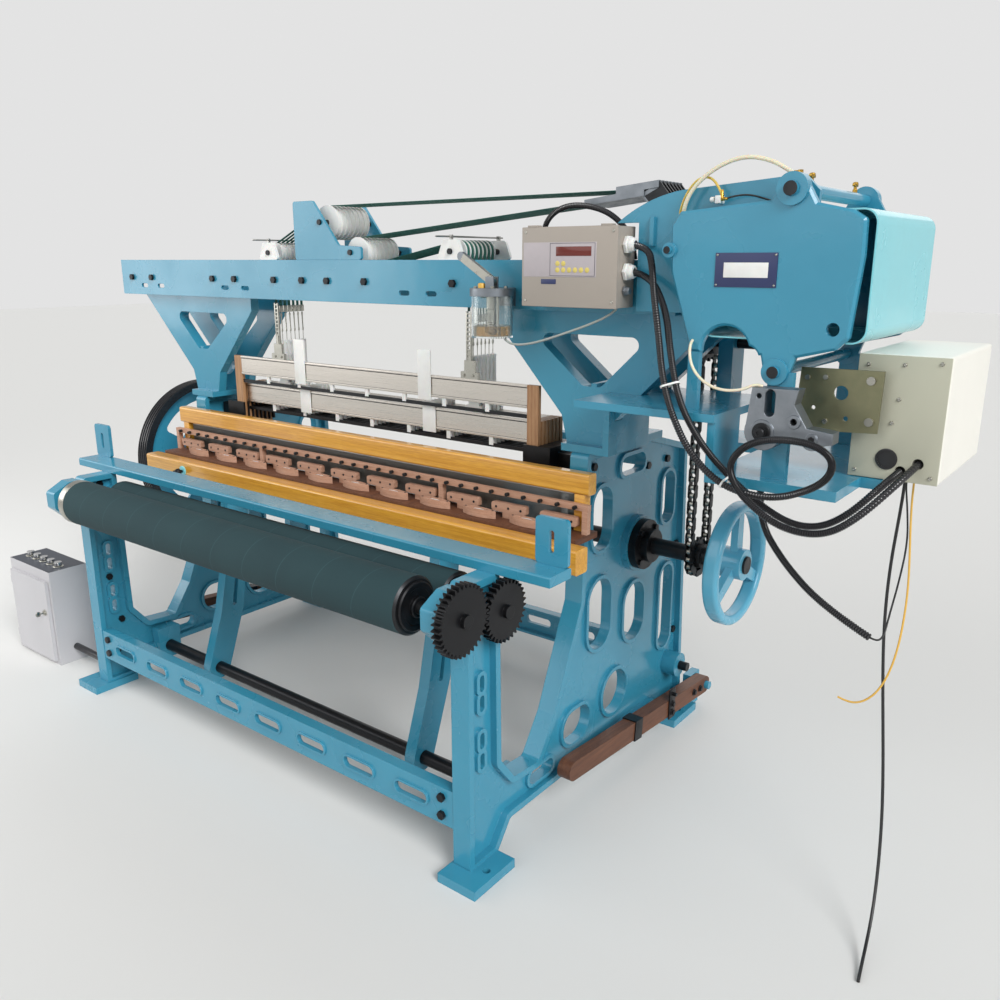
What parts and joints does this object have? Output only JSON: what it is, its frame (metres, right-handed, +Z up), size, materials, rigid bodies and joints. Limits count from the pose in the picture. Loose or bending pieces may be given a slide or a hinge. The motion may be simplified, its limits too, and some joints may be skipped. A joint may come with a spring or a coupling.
{
  "type": "dobby loom",
  "caption": "Floor-standing power loom with cast side frames, overhead dobby, strap-lifted heald frames, rocking sley with small shuttles, cloth rollers, flywheel and floor control box.",
  "frame": {"origin": "centre of the four floor bolt holes in the feet, at floor level", "axes": "+X along the cloth width to the weaver's right, +Y from the weaver to the warp, +Z up"},
  "size_m": [3.469, 1.4824, 1.83],
  "materials": {
    "blue_paint": "gloss",
    "aqua_paint": "gloss",
    "black_iron": "satin",
    "steel": "satin",
    "varnished_wood": "gloss",
    "pale_wood": "satin",
    "aluminium": "satin",
    "roller_cover": "matte",
    "white_plastic": "matte",
    "strap_green": "matte",
    "grey_box": "satin",
    "warm_grey": "satin",
    "cream_box": "satin",
    "cast_alloy": "satin",
    "glass": "gloss",
    "black_rubber": "matte",
    "yellow_wire": "matte",
    "button_cap": "gloss"
  },
  "bodies": {
    "loom_frame": {"left_side_frame": "blue_paint", "right_side_frame": "blue_paint", "cross_members": "blue_paint", "top_beams": "blue_paint", "arch_brackets": "blue_paint", "frame_brackets": "blue_paint", "bearings_and_guides": "black_iron", "pulley_brackets": "blue_paint", "tie_shafts": "steel", "lifting_straps": "strap_green", "drive_chain": "black_iron", "dobby_stand": "blue_paint", "dobby_plates": "blue_paint", "dobby_cover": "aqua_paint", "jack_levers": "steel", "controller": "warm_grey", "oil_pot": "glass", "pump_head": "cast_alloy", "electrical_cabinet": "cream_box", "gear_case": "cast_alloy", "control_desk": "grey_box", "frame_bolts": "black_iron", "conduit_a": "black_rubber", "conduit_b": "black_rubber", "conduit_c": "black_rubber", "earth_wire": "yellow_wire", "supply_cable": "black_rubber"},
    "crank": {"crankshaft": "steel", "handwheel": "aqua_paint", "flywheel": "blue_paint"},
    "dobby_drive": {"dobby_sprocket": "black_iron"},
    "sley": {"rocking_shaft": "black_iron", "sley_swords": "blue_paint", "sley_beam": "varnished_wood", "shuttle_battens": "pale_wood", "reed": "steel"},
    "arm_pair": {"crank_arms": "black_iron"},
    "shuttle_set": {"shuttles": "pale_wood"},
    "take_up": {"take_up_roller": "roller_cover"},
    "cloth": {"cloth_roller": "roller_cover"},
    "pulley_upper": {"upper_pulley": "white_plastic"},
    "pulley_lower": {"lower_pulley": "white_plastic"},
    "pulley_left": {"left_pulley": "white_plastic"},
    "pulley_right": {"right_pulley": "white_plastic"},
    "pick_right": {"right_pick_lever": "pale_wood"},
    "pick_left": {"left_pick_lever": "pale_wood"},
    "oil_lever": {"pump_lever": "steel"},
    "box_door": {"desk_door": "grey_box"},
    "heald_1": {"heald_frame_1": "aluminium"},
    "heald_2": {"heald_frame_2": "aluminium"},
    "heald_3": {"heald_frame_3": "aluminium"},
    "heald_4": {"heald_frame_4": "aluminium"},
    "heald_5": {"heald_frame_5": "aluminium"},
    "heald_6": {"heald_frame_6": "aluminium"},
    "heald_7": {"heald_frame_7": "aluminium"},
    "push_1": {"button_1": "button_cap"},
    "push_2": {"button_2": "button_cap"},
    "push_3": {"button_3": "button_cap"},
    "push_4": {"button_4": "button_cap"},
    "push_5": {"button_5": "button_cap"}
  },
  "joints": [
    {"name": "crank_turn", "type": "hinge", "parent": "loom_frame", "child": "crank", "pos_m": [0, 0.28, 0.74], "axis": [1, 0, 0], "continuous": true, "deforming": ["drive_chain"]},
    {"name": "dobby_turn", "type": "hinge", "parent": "loom_frame", "child": "dobby_drive", "pos_m": [1.15, 0.28, 1.4004], "axis": [1, 0, 0], "continuous": true},
    {"name": "sley_swing", "type": "hinge", "parent": "loom_frame", "child": "sley", "pos_m": [0, -0.345, 0.11], "axis": [1, 0, 0], "range_deg": [0, 9]},
    {"name": "arm_swing", "type": "hinge", "parent": "sley", "child": "arm_pair", "pos_m": [0, -0.15, 0.735], "axis": [1, 0, 0], "range_deg": [-11.7, 0]},
    {"name": "shuttle_traverse", "type": "slide", "parent": "sley", "child": "shuttle_set", "axis": [1, 0, 0], "range_m": [-0.09, 0.09]},
    {"name": "cloth_turn", "type": "hinge", "parent": "loom_frame", "child": "cloth", "pos_m": [0, -0.65767, 0.78806], "axis": [1, 0, 0], "continuous": true},
    {"name": "take_up_turn", "type": "hinge", "parent": "loom_frame", "child": "take_up", "pos_m": [0, -0.49, 0.76], "axis": [1, 0, 0], "continuous": true},
    {"name": "upper_pulley_turn", "type": "hinge", "parent": "loom_frame", "child": "pulley_upper", "pos_m": [-0.15, 0.06, 1.754], "axis": [0, 1, 0], "continuous": true},
    {"name": "lower_pulley_turn", "type": "hinge", "parent": "loom_frame", "child": "pulley_lower", "pos_m": [-0.005, 0.06, 1.654], "axis": [0, 1, 0], "continuous": true},
    {"name": "left_pulley_turn", "type": "hinge", "parent": "loom_frame", "child": "pulley_left", "pos_m": [-0.434, 0.06, 1.655], "axis": [0, 1, 0], "continuous": true},
    {"name": "right_pulley_turn", "type": "hinge", "parent": "loom_frame", "child": "pulley_right", "pos_m": [0.434, 0.06, 1.655], "axis": [0, 1, 0], "continuous": true},
    {"name": "right_pick_swing", "type": "hinge", "parent": "loom_frame", "child": "pick_right", "pos_m": [1.007, 0.69, 0.095], "axis": [1, 0, 0], "range_deg": [0, 6], "stiffness_Nm_per_rad": 150, "springref_deg": -8.59},
    {"name": "left_pick_swing", "type": "hinge", "parent": "loom_frame", "child": "pick_left", "pos_m": [-1.007, 0.69, 0.095], "axis": [1, 0, 0], "range_deg": [0, 6], "stiffness_Nm_per_rad": 150, "springref_deg": -8.59},
    {"name": "pump_stroke", "type": "hinge", "parent": "loom_frame", "child": "oil_lever", "pos_m": [0.655, -0.124, 1.572], "axis": [0, 1, 0], "range_deg": [-12, 55]},
    {"name": "door_swing", "type": "hinge", "parent": "loom_frame", "child": "box_door", "pos_m": [-1.5645, -0.617, 0.19], "axis": [0, 0, -1], "range_deg": [0, 105]},
    {"name": "heald_1_lift", "type": "slide", "parent": "loom_frame", "child": "heald_1", "axis": [0, 0, 1], "range_m": [-0.11, 0], "deforming": ["lifting_straps"]},
    {"name": "heald_2_lift", "type": "slide", "parent": "loom_frame", "child": "heald_2", "axis": [0, 0, 1], "range_m": [0, 0.11], "deforming": ["lifting_straps"]},
    {"name": "heald_3_lift", "type": "slide", "parent": "loom_frame", "child": "heald_3", "axis": [0, 0, 1], "range_m": [0, 0.11], "deforming": ["lifting_straps"]},
    {"name": "heald_4_lift", "type": "slide", "parent": "loom_frame", "child": "heald_4", "axis": [0, 0, 1], "range_m": [0, 0.11], "deforming": ["lifting_straps"]},
    {"name": "heald_5_lift", "type": "slide", "parent": "loom_frame", "child": "heald_5", "axis": [0, 0, 1], "range_m": [0, 0.11], "deforming": ["lifting_straps"]},
    {"name": "heald_6_lift", "type": "slide", "parent": "loom_frame", "child": "heald_6", "axis": [0, 0, 1], "range_m": [0, 0.11], "deforming": ["lifting_straps"]},
    {"name": "heald_7_lift", "type": "slide", "parent": "loom_frame", "child": "heald_7", "axis": [0, 0, 1], "range_m": [0, 0.11], "deforming": ["lifting_straps"]},
    {"name": "push_1_press", "type": "slide", "parent": "loom_frame", "child": "push_1", "axis": [0, 0, -1], "range_m": [0, 0.004], "stiffness_N_per_m": 600, "springref_m": -0.002},
    {"name": "push_2_press", "type": "slide", "parent": "loom_frame", "child": "push_2", "axis": [0, 0, -1], "range_m": [0, 0.004], "stiffness_N_per_m": 600, "springref_m": -0.002},
    {"name": "push_3_press", "type": "slide", "parent": "loom_frame", "child": "push_3", "axis": [0, 0, -1], "range_m": [0, 0.004], "stiffness_N_per_m": 600, "springref_m": -0.002},
    {"name": "push_4_press", "type": "slide", "parent": "loom_frame", "child": "push_4", "axis": [0, 0, -1], "range_m": [0, 0.004], "stiffness_N_per_m": 600, "springref_m": -0.002},
    {"name": "push_5_press", "type": "slide", "parent": "loom_frame", "child": "push_5", "axis": [0, 0, -1], "range_m": [0, 0.004], "stiffness_N_per_m": 600, "springref_m": -0.002}
  ],
  "couplings": [
    {"joint": "arm_swing", "follows": "sley_swing", "ratio": -1.3},
    {"joint": "dobby_turn", "follows": "crank_turn", "ratio": 1},
    {"joint": "take_up_turn", "follows": "cloth_turn", "ratio": -1.125}
  ]
}
